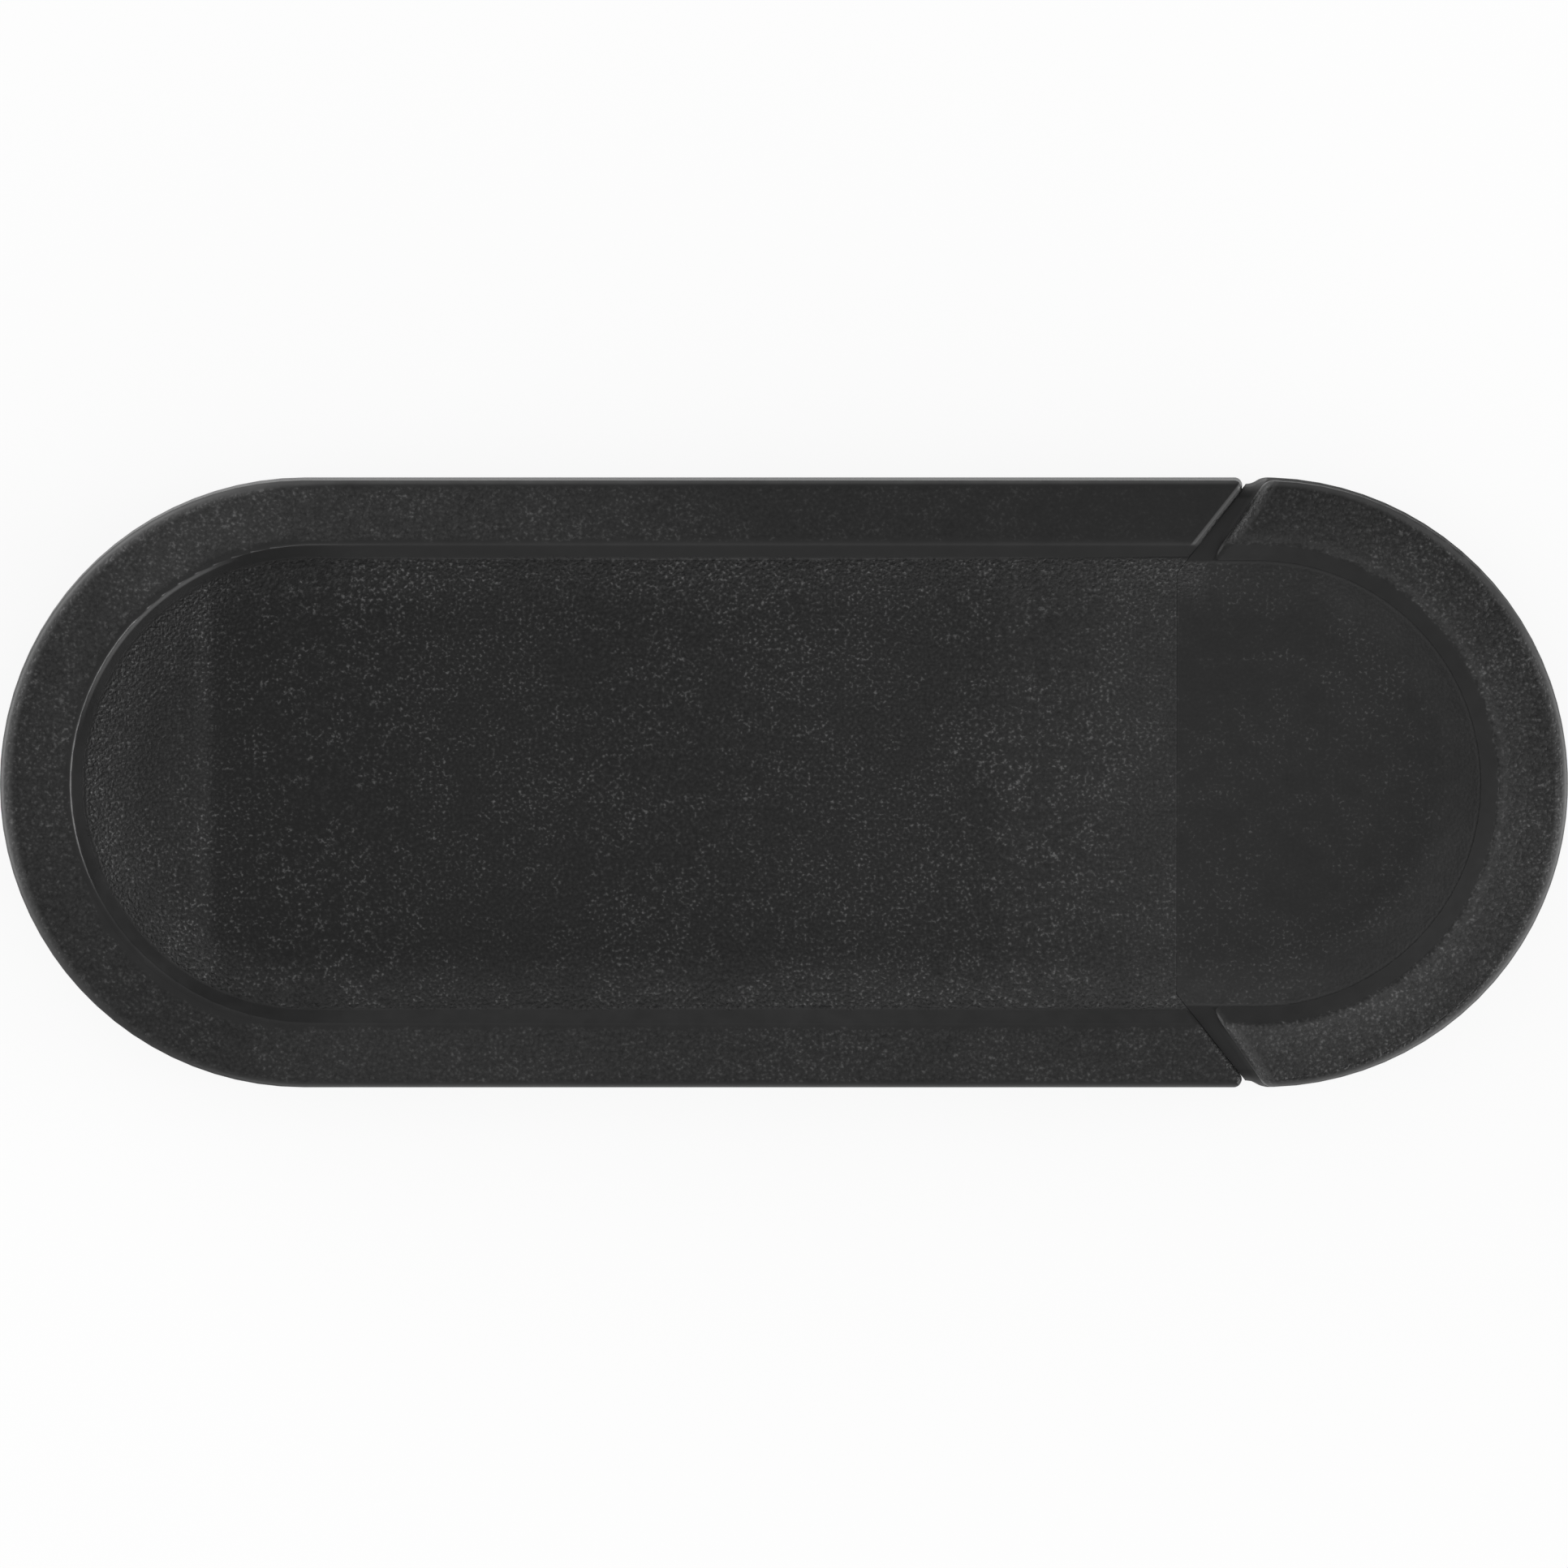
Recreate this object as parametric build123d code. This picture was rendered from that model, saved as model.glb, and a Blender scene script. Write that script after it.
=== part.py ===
"""Sliding cover for a laptop camera: a pill-shaped plastic shutter that is glued over the lens.

Two black mouldings make the pill. The base is glued to the lid: a D-shaped head at the +X end, and a
flat tongue that runs under the cover with the round camera window in it. The sliding cover is a
shallow tray with a rim on three sides. Its side walls go down round the tongue and turn inwards as
lips under the tongue's flanges, so that it can only slide. It moves along -X, away from the head,
until two hooks on the tongue's spring arms meet the ends of their grooves, and the window is open.

Frame: X along the length with the head at +X, Y across, Z up from the glued face.
The origin is the middle of the outline, on the face of the adhesive pads. Sizes are millimetres.
"""

import os
from math import atan, degrees, radians, tan

from build123d import *

# Outline of the whole pill, seen from above
pill_length = 36.0
pill_width = 14.0
outer_draft = 2.0

# Heights, from the glued face up
pad_thickness = 0.20
pad_pocket = 0.08
web_thickness = 0.38
flange_thickness = 0.42
run_gap = 0.08
floor_thickness = 0.60
rim_height = 0.40

# Rim of both mouldings
rim_width = 1.50
rim_end_extra = 0.15
cover_slope_width = 0.30
head_slope_width = 0.38
foot_chamfer = 0.10

# Rounded edges of each rim: its upright mitred corners, its outer and mitred edge, and its inner crest
cover_corner_round = 0.18
cover_edge_round = 0.16
cover_crest_round = 0.14
head_corner_round = 0.34
head_edge_round = 0.24
head_crest_round = 0.12
plate_edge_round = 0.12

# Finger dish in the cover's floor, between two creases across it
dish_depth = 0.10
dish_from_closed_end = 4.70
dish_from_seam = 0.42

# Seam between the cover and the head: straight across the floor, mitred through the rim
head_length = 9.00
seam_half_width = 4.83
cover_mitre = 38.4
seam_gap = 0.01
head_half_width = 4.54
head_mitre = 34.5
gap_reveal = 0.37

# Plate in the mitred gaps: set in beside the cover, and swung out in an S to the head's wall
plate_inset = 0.15
plate_reveal = 0.24
plate_swing = 0.45

# Slide: side walls, flanges and lips
cover_wall = 0.75
lip_reach = 0.55
lip_thickness = 0.20
flange_overhang = 0.55
closed_end_gap = 0.40

# Camera window in the tongue
window_radius = 3.60
window_from_head = 0.60
window_bevel = 0.20
window_overrun = 0.41

# Spring arms on the tongue, with the hooks that stop the cover
arm_width = 0.75
arm_length = 6.50
arm_slit = 0.40
hook_length = 1.00
hook_nose = 0.30
hook_bite = 0.20
hook_play = 0.05
stop_gap = 0.02

# Adhesive pads
pad_margin = 0.45
pocket_gap = 0.10

# Sizes that follow from the ones above
end_radius = pill_width / 2
end_centre = pill_length / 2 - end_radius
base_bottom = pad_thickness - pad_pocket
flange_bottom = base_bottom + web_thickness
tongue_top = flange_bottom + flange_thickness
ceiling = tongue_top + run_gap
floor_top = ceiling + floor_thickness
rim_top = floor_top + rim_height
lip_top = flange_bottom - run_gap
cover_bottom = lip_top - lip_thickness
seam_x = pill_length / 2 - head_length - seam_gap
crest_radius = end_radius - rim_width
tunnel_radius = end_radius - cover_wall
flange_radius = tunnel_radius - run_gap
web_radius = flange_radius - flange_overhang
lip_radius = tunnel_radius - lip_reach
tongue_centre = -end_centre + closed_end_gap
arm_inner_edge = flange_radius - arm_width
hook_x = tongue_centre
window_x = seam_x + seam_gap - window_from_head - window_radius
travel = seam_x - (window_x - window_radius) + window_overrun
head_rim_x = seam_x + seam_gap + gap_reveal
far = pill_length
skin = 1.0
touching = 0.001


def pill(radius, left=-end_centre, right=end_centre):
    """A pill seen from above: arcs of one radius about two centres on the X axis."""
    return Pos((left + right) / 2, 0) * SlotCenterToCenter(right - left, 2 * radius)


def slab(plan, bottom, top):
    """A plan given a thickness between two heights."""
    return Pos(0, 0, bottom) * extrude(plan, top - bottom)


def edges_at(solid, height):
    """The edges that lie wholly at one height."""
    return solid.edges().filter_by_position(Axis.Z, height, height)


def left_of(x, half_width, mitre):
    """The plan left of a line that is straight across at x, and leans to +X beyond the half width."""
    lean = (far - half_width) * tan(radians(mitre))
    return make_face(
        Polyline(
            (-far, -far), (x + lean, -far), (x, -half_width), (x, half_width), (x + lean, far), (-far, far),
            close=True,
        )
    )


def right_of(x, half_width, mitre):
    """The plan on the other side of such a line."""
    return Rectangle(4 * far, 2 * far) - left_of(x, half_width, mitre)


def head_side(gap):
    """The plan of everything on the head's side of the seam, a gap away from the cover."""
    return right_of(seam_x + gap, seam_half_width - gap * tan(radians(cover_mitre / 2)), cover_mitre)


def recess(slope_width, depth):
    """The space inside the rim: a pill that widens upwards from its floor to the rim's crest."""
    run_per_rise = slope_width / rim_height
    inner_end = end_centre - rim_end_extra
    plan = pill(crest_radius - slope_width - depth * run_per_rise, -inner_end, inner_end)
    height = depth + rim_height + skin
    return Pos(0, 0, floor_top - depth) * extrude(plan, height, taper=-degrees(atan(run_per_rise)))


def pill_foot(bottom):
    """The chamfered foot of the pill's outer wall."""
    return Pos(0, 0, bottom) * extrude(pill(end_radius - foot_chamfer), foot_chamfer, taper=-45)


def drafted(plan, bottom, top):
    """A plan given a thickness above the foot, with the draft of the outer wall."""
    widest = bottom + foot_chamfer
    return Pos(0, 0, widest) * extrude(plan, top - widest, taper=outer_draft)


def rimmed(bottom, side, space, corner_round, edge_round, crest_round):
    """One side's share of the pill. Its rim's upright corners, outer edge and crest are rounded in turn."""
    wall = drafted(pill(end_radius), bottom, rim_top)
    block = wall & slab(side, bottom, rim_top)

    def beside_recess(edge):
        return max(abs((edge @ 0).Y), abs((edge @ 1).Y)) > crest_radius

    cut = [edge for edge in new_edges(wall, combined=block) if beside_recess(edge)]
    block = fillet([edge for edge in cut if abs((edge @ 0).Z - (edge @ 1).Z) > rim_height], corner_round)
    foot = pill_foot(bottom) & extrude(block.faces().sort_by(Axis.Z)[0], foot_chamfer)
    block = fillet([edge for edge in edges_at(block, rim_top) if beside_recess(edge)], edge_round)
    body = block - space
    crest = [edge for edge in new_edges(block, space, combined=body) if (edge @ 0.5).Z > floor_top + touching]
    return fillet(crest, crest_round) + foot


def dish():
    """Everything above the cover's floor, which dips in a long shallow arc between two creases."""
    crease_left = -pill_length / 2 + dish_from_closed_end
    crease_right = seam_x - dish_from_seam
    dip = ThreePointArc(
        (crease_left, floor_top),
        ((crease_left + crease_right) / 2, floor_top - dish_depth),
        (crease_right, floor_top),
    )
    outline = Polyline(
        (crease_right, floor_top), (far, floor_top), (far, rim_top + skin),
        (-far, rim_top + skin), (-far, floor_top), (crease_left, floor_top),
    )
    profile = make_face(Plane.XZ * (dip + outline))
    return extrude(profile, pill_width, both=True)


def tunnel():
    """The space under the cover's floor that the tongue runs in, narrower between the lips."""
    flange_space = slab(pill(tunnel_radius, right=far), lip_top, ceiling)
    web_space = slab(pill(lip_radius, right=far), base_bottom - skin, lip_top)
    return flange_space + web_space


def groove(side):
    """The groove in one side wall of the cover that a hook runs in."""
    start = hook_x - hook_play
    end = hook_x + hook_length + travel + stop_gap
    reach = run_gap + hook_bite + hook_play
    plan = Pos((start + end) / 2, side * (flange_radius + reach / 2)) * Rectangle(end - start, reach)
    return slab(plan, lip_top, ceiling)


def sliding_cover():
    """The tray: rim on three sides, dished floor, side walls and the lips that hold it down."""
    space = recess(cover_slope_width, dish_depth) & dish()
    side = left_of(seam_x, seam_half_width, cover_mitre)
    body = rimmed(cover_bottom, side, space, cover_corner_round, cover_edge_round, cover_crest_round)
    return body - tunnel() - groove(1) - groove(-1)


def spring_arm_slit(side):
    """The slit that frees one spring arm along its inner side and round its free end."""
    middle = arm_inner_edge - arm_slit / 2
    left = hook_x - arm_slit / 2
    along = Pos((2 * left + arm_length) / 2, side * middle) * SlotCenterToCenter(arm_length, arm_slit)
    across = Pos(left, side * (middle + pill_width / 2)) * Rectangle(arm_slit, pill_width)
    return slab(along + across, base_bottom - skin, tongue_top + skin)


def hook(side):
    """A hook on a spring arm: a ramp towards the closed end, and a square face that stops the cover."""
    root = flange_radius - hook_bite
    tip = flange_radius + run_gap + hook_bite
    plan = make_face(
        Polyline(
            (hook_x, side * root), (hook_x, side * flange_radius),
            (hook_x + hook_length - hook_nose, side * tip), (hook_x + hook_length, side * tip),
            (hook_x + hook_length, side * root), close=True,
        )
    )
    return slab(plan, flange_bottom, tongue_top)


def plate_plan():
    """The plate's outline, with both bends of its swing rounded: the hollow one first, then the full one."""
    head_mitre_side = right_of(seam_x + seam_gap + plate_reveal, head_half_width, head_mitre)
    plan = pill(end_radius - plate_inset) + (pill(end_radius) & head_mitre_side)
    filled = offset(plan, plate_swing)
    return offset(offset(filled, -2 * plate_swing), plate_swing)


def head():
    """The D-shaped end: a rimmed head, and the lower plate of it that shows in the mitred gaps."""
    plate = drafted(plate_plan(), base_bottom, floor_top)
    plate = fillet(plate.faces().sort_by(Axis.Z)[-1].edges(), plate_edge_round)
    foot = pill_foot(base_bottom) & extrude(plate.faces().sort_by(Axis.Z)[0], foot_chamfer)
    plate = (plate + foot) & slab(head_side(seam_gap), base_bottom, floor_top)
    side = right_of(head_rim_x, head_half_width, head_mitre)
    space = recess(head_slope_width, 0)
    rim = rimmed(base_bottom, side, space, head_corner_round, head_edge_round, head_crest_round)
    return plate + rim


def window():
    """The round camera window through the tongue, bevelled at its upper edge."""
    foot = (Align.CENTER, Align.CENTER, Align.MIN)
    hole = Cylinder(window_radius, tongue_top - base_bottom + 2 * skin, align=foot)
    bevel = Cone(window_radius, window_radius + window_bevel, window_bevel, align=foot)
    return Pos(window_x, 0, base_bottom - skin) * hole + Pos(window_x, 0, tongue_top - window_bevel) * bevel


def head_pad_plan(margin):
    """The pad under the head: the head's outline, set in by a margin."""
    return pill(end_radius - margin) & head_side(seam_gap + margin)


def tongue_pad_plan(margin):
    """The pad under the tongue: from its round end to the window, and clear of the spring arms."""
    half_width = arm_inner_edge - arm_slit - margin
    right = window_x - window_radius - margin
    return pill(half_width, tongue_centre - web_radius + half_width + margin, far) & (
        Pos(right - far / 2, 0) * Rectangle(far, far)
    )


def base():
    """Head, tongue, window and spring arms in one piece, with two pockets for the pads below."""
    body = slab(pill(web_radius, tongue_centre), base_bottom, tongue_top)
    body += slab(pill(flange_radius, tongue_centre), flange_bottom, tongue_top)
    body += head()
    body -= window()
    for side in (1, -1):
        body -= spring_arm_slit(side)
        body += hook(side)
    for pad_plan in (head_pad_plan, tongue_pad_plan):
        body -= slab(pad_plan(pad_margin - pocket_gap), base_bottom - skin, base_bottom + pad_pocket)
    return body


def head_adhesive_pad():
    """The sheet of adhesive in the head's pocket."""
    return slab(head_pad_plan(pad_margin), 0, pad_thickness)


def tongue_adhesive_pad():
    """The sheet of adhesive in the tongue's pocket."""
    return slab(tongue_pad_plan(pad_margin), 0, pad_thickness)


os.makedirs("parts", exist_ok=True)
for make in (base, sliding_cover, head_adhesive_pad, tongue_adhesive_pad):
    export_step(make(), f"parts/{make.__name__}.step")
print(f"travel {travel:.2f}, seam at {seam_x:.2f}, window at {window_x:.2f}, top {rim_top:.2f}")
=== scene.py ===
# %% [markdown]
# # A sliding webcam cover in black moulded plastic
#
# The object is a flat pill, 36 mm long, that is glued over a laptop's camera. Two black mouldings make
# it: a base with a D-shaped head, and a shallow rimmed cover that slides on it. Their forms come from
# the measured model, which is loaded here as a fixed frame. This lesson gives them their finish: the
# spark-eroded grain of the mould, its polished bands and edges, the soft adhesive below, and the soft
# studio light that shows them. Blender works in metres. Sizes that read better in millimetres are
# written so, and the names of those values end in _mm.

# %% Load the measured model
import math
from types import SimpleNamespace

import bpy
import numpy as np
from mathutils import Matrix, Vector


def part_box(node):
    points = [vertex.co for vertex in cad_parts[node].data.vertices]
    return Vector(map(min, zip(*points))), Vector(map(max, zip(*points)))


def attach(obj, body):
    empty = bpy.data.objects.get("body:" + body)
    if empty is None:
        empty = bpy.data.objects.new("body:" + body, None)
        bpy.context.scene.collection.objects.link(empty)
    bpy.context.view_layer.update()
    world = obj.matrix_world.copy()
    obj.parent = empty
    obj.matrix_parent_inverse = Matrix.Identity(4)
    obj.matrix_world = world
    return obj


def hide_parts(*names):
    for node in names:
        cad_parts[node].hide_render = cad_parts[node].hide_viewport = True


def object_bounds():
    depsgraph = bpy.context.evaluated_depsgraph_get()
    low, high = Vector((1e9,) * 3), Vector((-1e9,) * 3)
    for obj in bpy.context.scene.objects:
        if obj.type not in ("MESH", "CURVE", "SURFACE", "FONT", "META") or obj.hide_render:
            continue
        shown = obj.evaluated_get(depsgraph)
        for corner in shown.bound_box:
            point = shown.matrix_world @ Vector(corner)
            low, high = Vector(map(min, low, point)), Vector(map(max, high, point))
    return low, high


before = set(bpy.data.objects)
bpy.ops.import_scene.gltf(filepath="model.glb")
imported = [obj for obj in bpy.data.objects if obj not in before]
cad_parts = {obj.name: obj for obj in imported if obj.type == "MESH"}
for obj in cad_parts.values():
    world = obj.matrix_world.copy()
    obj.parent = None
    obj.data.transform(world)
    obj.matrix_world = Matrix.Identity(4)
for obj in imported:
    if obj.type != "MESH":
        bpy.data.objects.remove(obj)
cad_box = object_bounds()
MM = 0.001
low, high = cad_box
print("measured model, mm:", [round(size / MM, 2) for size in high - low])

# %% [markdown]
# ## The camera
#
# The photograph looks straight down on the cover from far away, so nothing in it converges. A long lens
# far off gives the same picture. The raised rim is shifted a little against the floor of the recess,
# which tells that the camera leans by a degree or two towards the upper edge. The pill fills all but
# two columns of the frame.

# %% Set the camera over the pill
FRAME_PIXELS = 1932
PILL_PIXELS = 1930
PILL_MIDDLE_ROW = 963.4
CAMERA_LEAN = math.radians(1.5)
CAMERA_DISTANCE = 0.45
SENSOR_MM = 36.0
NEAREST_SEEN, FARTHEST_SEEN = 0.01, 10.0

pixel = (high.x - low.x) / PILL_PIXELS
aim_below_middle = (FRAME_PIXELS / 2 - PILL_MIDDLE_ROW) * pixel
aim = np.array([0.0, -aim_below_middle, 0.0])
away = np.array([0.0, math.sin(CAMERA_LEAN), math.cos(CAMERA_LEAN)])

camera_data = bpy.data.cameras.new("camera")
camera_data.sensor_width = SENSOR_MM
camera_data.lens = SENSOR_MM * CAMERA_DISTANCE / (FRAME_PIXELS * pixel)
camera_data.clip_start = NEAREST_SEEN
camera_data.clip_end = FARTHEST_SEEN
camera = bpy.data.objects.new("camera", camera_data)
camera.location = aim + away * CAMERA_DISTANCE
camera.rotation_euler = (-CAMERA_LEAN, 0.0, 0.0)
bpy.context.scene.collection.objects.link(camera)
bpy.context.scene.camera = camera
print("lens", round(camera_data.lens), "mm, one pixel is", round(pixel / MM, 4), "mm")

# %% [markdown]
# ## Small helpers for shader nodes
#
# A material is a graph of nodes. A few helpers keep the graphs readable: one adds a node with its
# options and inputs in a single call, and others do sums on what nodes put out, so that a graph reads
# like plain arithmetic. An input that is a socket is linked, and any other is typed in.

# %% Helpers that add nodes and do sums
def add_node(tree, kind, inputs=None, **options):
    """Adds a node of a kind, sets its options, and links or fills the inputs that are named."""
    node = tree.nodes.new(kind)
    for name, value in options.items():
        setattr(node, name, value)
    for name, value in (inputs or {}).items():
        if isinstance(value, bpy.types.NodeSocket):
            tree.links.new(value, node.inputs[name])
        else:
            node.inputs[name].default_value = value
    return node


def calculate(tree, operation, *values, clamp=False):
    """The result of a Math node on one to three numbers or sockets."""
    node = add_node(tree, "ShaderNodeMath", dict(enumerate(values)), operation=operation, use_clamp=clamp)
    return node.outputs[0]


def plus(tree, first, second):
    """The sum of two numbers or sockets."""
    return calculate(tree, "ADD", first, second)


def minus(tree, first, second):
    """The first number or socket less the second."""
    return calculate(tree, "SUBTRACT", first, second)


def times(tree, first, *others):
    """The product of two or more numbers or sockets."""
    for other in others:
        first = calculate(tree, "MULTIPLY", first, other)
    return first


def add_share(tree, base, amount, extra):
    """The base with an amount of something extra: base + amount * extra."""
    return calculate(tree, "MULTIPLY_ADD", amount, extra, base)

# %% [markdown]
# ## Masks
#
# A mask is a value that is 1 on some part of the object and 0 off it, with a soft border. It comes from a
# measure, such as the height or the distance from a line, so it needs no painting and stays sharp at any
# zoom. In the values below, a pair of numbers is where a mask's border begins and where it ends.

# %% Helpers for masks and noise
def between(tree, value, start, end, low_value=0.0, high_value=1.0):
    """Rises or falls smoothly from low_value to high_value while value goes from start to end."""
    inputs = {"Value": value, "From Min": start, "From Max": end, "To Min": low_value, "To Max": high_value}
    return add_node(tree, "ShaderNodeMapRange", inputs, interpolation_type="SMOOTHSTEP").outputs["Result"]


def until(tree, value, start, end):
    """One before the start, zero after the end."""
    return between(tree, value, start, end, 1.0, 0.0)


def near(tree, value, middle, full, none, peak=1.0):
    """The peak while a value is within full of a middle, and zero once it is none or more away from it."""
    away_from_middle = calculate(tree, "ABSOLUTE", minus(tree, value, middle))
    return between(tree, away_from_middle, full, none, peak, 0.0)


def blend(tree, amount, first, second):
    """First where the amount is 0, second where it is 1, and a mixture in between."""
    inputs = {"Value": amount, "To Min": first, "To Max": second}
    return add_node(tree, "ShaderNodeMapRange", inputs).outputs["Result"]


def position_mm(tree):
    """The place on the object in millimetres, from its own coordinates, which are in metres."""
    coordinates = add_node(tree, "ShaderNodeTexCoord").outputs["Object"]
    scaled = add_node(tree, "ShaderNodeVectorMath", {0: coordinates, "Scale": 1 / MM}, operation="SCALE")
    return scaled.outputs[0]


def noise(tree, position, size_mm, detail=2.0, roughness=0.55):
    """Noise whose spots are about size_mm across, on a position in millimetres."""
    inputs = {"Vector": position, "Scale": 1.0 / size_mm, "Detail": detail, "Roughness": roughness}
    return add_node(tree, "ShaderNodeTexNoise", inputs).outputs["Fac"]


def along_length(tree, x_mm, stops):
    """A value that follows X in millimetres through a few stops, eased between them."""
    first_x, last_x = stops[0][0], stops[-1][0]
    inputs = {"Value": x_mm, "From Min": first_x, "From Max": last_x}
    place_on_ramp = add_node(tree, "ShaderNodeMapRange", inputs).outputs["Result"]
    ramp = add_node(tree, "ShaderNodeValToRGB", {"Fac": place_on_ramp})
    ramp.color_ramp.interpolation = "EASE"
    elements = ramp.color_ramp.elements
    while len(elements) < len(stops):
        elements.new(0.5)
    for element, (x, value) in zip(elements, stops):
        element.position = (x - first_x) / (last_x - first_x)
        element.color = (value, value, value, 1.0)
    return ramp.outputs["Color"]

# %% [markdown]
# ## Node groups
#
# A measure that several materials share is built once, as a node group: a small graph with named inputs
# and outputs that is placed in a material like a single node. Both mouldings use the next two.

# %% Helpers for node groups
def new_group(name, inputs, outputs):
    """A shader node group, its entry and its exit. Each socket is given as a name and Float or Vector."""
    group = bpy.data.node_groups.new(name, "ShaderNodeTree")
    for sockets, direction in ((inputs, "INPUT"), (outputs, "OUTPUT")):
        for socket, kind in sockets.items():
            group.interface.new_socket(socket, in_out=direction, socket_type="NodeSocket" + kind)
    return group, group.nodes.new("NodeGroupInput"), group.nodes.new("NodeGroupOutput")


def put_out(group, group_exit, results):
    """Links what a group has worked out to the outputs of the same names."""
    for name, socket in results.items():
        group.links.new(socket, group_exit.inputs[name])
    print(group.name, "puts out", ", ".join(results))


def use_group(tree, group, **inputs):
    """Places a node group in a tree. An underscore in an input's name stands for a space."""
    named = {name.replace("_", " "): value for name, value in inputs.items()}
    return add_node(tree, "ShaderNodeGroup", named, node_tree=group).outputs

# %% [markdown]
# ## The grain of the mould
#
# The mould is spark-eroded, which leaves tiny craters in the steel and so tiny humps on the plastic, a
# tenth of a millimetre across. Their crests catch the light as sparse specks. Noise of that size gives
# the humps, and the specks are the highest crests only. The sparks don't spread evenly, so two coarser
# noises thin the specks out in places and crowd them in others. The group also puts out the slow mottle,
# a few millimetres wide, for the tone of the skin.

# %% Node group: spark-eroded grain
HUMP_MM = 0.076
CLUSTER_MM = 0.45
MOTTLE_MM = 2.2
CREST_LEVELS = (0.54, 0.80)
CROWDED_LEVELS = (0.34, 0.68)
MOTTLE_IN_CROWDING = 0.8
FEWEST_SPECKS, MOST_SPECKS = 0.05, 1.25

grain_group, entry, group_exit = new_group(
    "spark_grain", {"Position mm": "Vector"},
    {"Height": "Float", "Specks": "Float", "Clusters": "Float", "Mottle": "Float"},
)
position = entry.outputs["Position mm"]
humps = noise(grain_group, position, HUMP_MM, 1.6, 0.5)
clusters = noise(grain_group, position, CLUSTER_MM, 2.0, 0.6)
mottle = noise(grain_group, position, MOTTLE_MM, 3.0, 0.55)
even_out = minus(grain_group, clusters, MOTTLE_IN_CROWDING / 2)
crowding = add_share(grain_group, even_out, mottle, MOTTLE_IN_CROWDING)
crests = between(grain_group, humps, *CREST_LEVELS)
crowded = between(grain_group, crowding, *CROWDED_LEVELS, FEWEST_SPECKS, MOST_SPECKS)
specks = times(grain_group, crests, crowded)
put_out(grain_group, group_exit, {"Height": humps, "Specks": specks, "Clusters": clusters, "Mottle": mottle})

# %% [markdown]
# ## Distance from the pill's axis
#
# The pill is every point within some distance of a straight axis line. So that distance, found from the
# position alone, tells the outer edge, the rim, its slope and the floor apart all the way round, and both
# mouldings share it. The group also puts out the direction that leads straight away from the axis.

# %% Node group: distance from the pill's axis
axis_group, entry, group_exit = new_group(
    "axis_distance", {"Position mm": "Vector", "Half Axis mm": "Float"},
    {"Distance": "Float", "Outward": "Vector"},
)
place = add_node(axis_group, "ShaderNodeSeparateXYZ", {"Vector": entry.outputs["Position mm"]})
from_middle = calculate(axis_group, "ABSOLUTE", place.outputs["X"])
beyond_end = minus(axis_group, from_middle, entry.outputs["Half Axis mm"])
beyond_end = calculate(axis_group, "MAXIMUM", beyond_end, 0.0)
beyond_end = times(axis_group, beyond_end, calculate(axis_group, "SIGN", place.outputs["X"]))
reach = add_node(axis_group, "ShaderNodeCombineXYZ", {"X": beyond_end, "Y": place.outputs["Y"]}).outputs[0]
outward = add_node(axis_group, "ShaderNodeVectorMath", {0: reach}, operation="NORMALIZE").outputs["Vector"]
distance = add_node(axis_group, "ShaderNodeVectorMath", {0: reach}, operation="LENGTH").outputs["Value"]
put_out(axis_group, group_exit, {"Distance": distance, "Outward": outward})

# %% [markdown]
# ## Black plastic, step by step
#
# Both mouldings are the same matt black plastic. The colour is nearly black, and most of what is seen
# of it is light that its skin reflects. The grain raises the skin, lightens its crests and scatters its
# shine. The sloped inner side of the rim and the bottom of the slanting gaps have none of it, because a
# spark doesn't reach into a mould's narrow grooves as well as it does a flat. The steps below find where
# a point lies, how much grain it has there, its tone and its gloss. Each step is a function that adds its
# nodes to a tree, so both mouldings share the steps and differ only in the values that they bring.
#
# The first step takes the measures. The border between grained and polished plastic isn't a clean line:
# it wanders with the humps and with their clusters, so a ragged distance is kept beside the true one.

# %% Sizes of the mouldings, and the measures taken at a point
PILL_HALF_AXIS_MM = 11.0
PILL_HALF_WIDTH_MM = 7.0
RECESS_HALF_AXIS_MM = 10.85
CREST_MM = 5.5
FLOOR_TOP_MM = 1.60
SEAM_X_MM = 8.99
RAGGED_BY_HUMPS_MM = 0.12
RAGGED_BY_CLUSTERS_MM = 0.10
NOISE_MIDDLE = 0.5


def past_slant(tree, x_mm, y_mm, foot_x_mm, foot_y_mm, slant):
    """How far in millimetres a point lies to the right of the slanting end of a rim, square to it."""
    to_the_right = times(tree, minus(tree, x_mm, foot_x_mm), math.cos(slant))
    outwards = minus(tree, calculate(tree, "ABSOLUTE", y_mm), foot_y_mm)
    return add_share(tree, to_the_right, outwards, -math.sin(slant))


def take_measures(tree, look):
    """A point's place, the grain there, and its distances from the axis and from the rim's slanting end."""
    position = position_mm(tree)
    at = SimpleNamespace()
    at.x, at.y, at.z = add_node(tree, "ShaderNodeSeparateXYZ", {"Vector": position}).outputs
    at.grain = use_group(tree, grain_group, Position_mm=position)
    recess = use_group(tree, axis_group, Position_mm=position, Half_Axis_mm=RECESS_HALF_AXIS_MM)
    pill = use_group(tree, axis_group, Position_mm=position, Half_Axis_mm=PILL_HALF_AXIS_MM)
    at.inner = recess["Distance"]
    at.outer = pill["Distance"]
    at.outward = pill["Outward"]
    at.past_end = past_slant(tree, at.x, at.y, *look["rim_end"])
    at.from_end = calculate(tree, "ABSOLUTE", at.past_end)
    at.hump = minus(tree, at.grain["Height"], NOISE_MIDDLE)
    by_clusters = times(tree, minus(tree, at.grain["Clusters"], NOISE_MIDDLE), RAGGED_BY_CLUSTERS_MM)
    at.ragged = add_share(tree, by_clusters, at.hump, RAGGED_BY_HUMPS_MM)
    at.inner_ragged = plus(tree, at.inner, at.ragged)
    return at

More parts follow.
